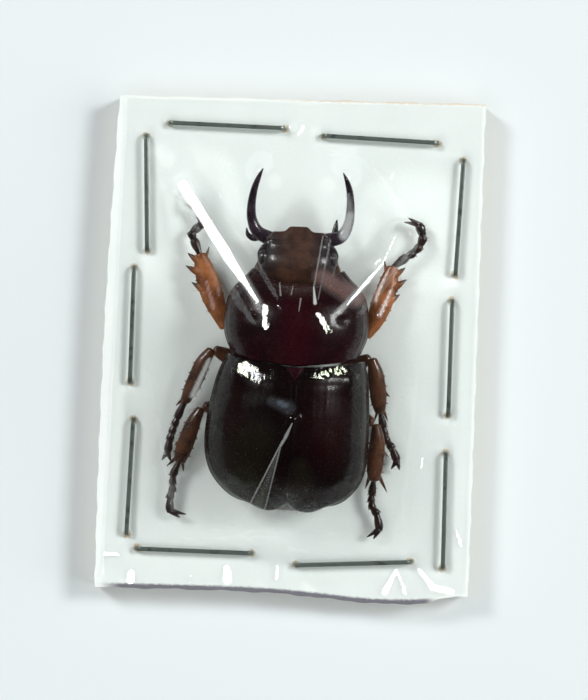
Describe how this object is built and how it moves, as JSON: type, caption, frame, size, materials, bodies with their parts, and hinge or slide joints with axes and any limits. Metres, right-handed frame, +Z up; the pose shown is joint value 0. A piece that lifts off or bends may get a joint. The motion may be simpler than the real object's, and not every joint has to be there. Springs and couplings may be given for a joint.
{
  "type": "mounted chafer beetle",
  "caption": "Dried long-jawed chafer lying on its belly on a white card, under clear film stapled round the card's edge.",
  "frame": {"origin": "centre of the box round the card, on the surface that the card lies on", "axes": "+Y along the card's long side, the way the beetle's head points; +Z up, from the card to the beetle's back"},
  "size_m": [0.04, 0.053, 0.014],
  "materials": {
    "card": "matt white facing, tan core at the cut edges",
    "film": "clear, glossy, creased",
    "staple": "bright zinc-coated wire",
    "wine_cuticle": "deep wine red, glossy, finely pitted",
    "brown_cuticle": "dull brown, finely pitted",
    "leg_cuticle": "glossy orange brown",
    "dark_cuticle": "glossy, near black",
    "eye": "glossy black"
  },
  "bodies": {
    "root": {"abdomen": "brown_cuticle", "antenna_left": "dark_cuticle", "antenna_right": "dark_cuticle", "card": "card", "clypeus": "brown_cuticle", "elytron_left": "wine_cuticle", "elytron_right": "wine_cuticle", "eye_left": "eye", "eye_right": "eye", "femur_fore_left": "leg_cuticle", "femur_fore_right": "leg_cuticle", "femur_hind_left": "brown_cuticle", "femur_hind_right": "brown_cuticle", "femur_middle_left": "brown_cuticle", "femur_middle_right": "brown_cuticle", "film": "film", "head": "brown_cuticle", "mandible_left": "dark_cuticle", "mandible_right": "dark_cuticle", "mouthparts": "brown_cuticle", "pronotum": "wine_cuticle", "prothorax": "brown_cuticle", "pygidium": "brown_cuticle", "scutellum": "wine_cuticle", "staple_bottom_left": "staple", "staple_bottom_right": "staple", "staple_left_lower": "staple", "staple_left_middle": "staple", "staple_left_upper": "staple", "staple_right_lower": "staple", "staple_right_middle": "staple", "staple_right_upper": "staple", "staple_top_left": "staple", "staple_top_right": "staple", "sternum": "brown_cuticle", "tarsus_fore_left": "dark_cuticle", "tarsus_fore_right": "dark_cuticle", "tarsus_hind_left": "dark_cuticle", "tarsus_hind_right": "dark_cuticle", "tarsus_middle_left": "dark_cuticle", "tarsus_middle_right": "dark_cuticle", "tibia_fore_left": "leg_cuticle", "tibia_fore_right": "leg_cuticle", "tibia_hind_left": "leg_cuticle", "tibia_hind_right": "leg_cuticle", "tibia_middle_left": "leg_cuticle", "tibia_middle_right": "leg_cuticle"}
  },
  "joints": []
}
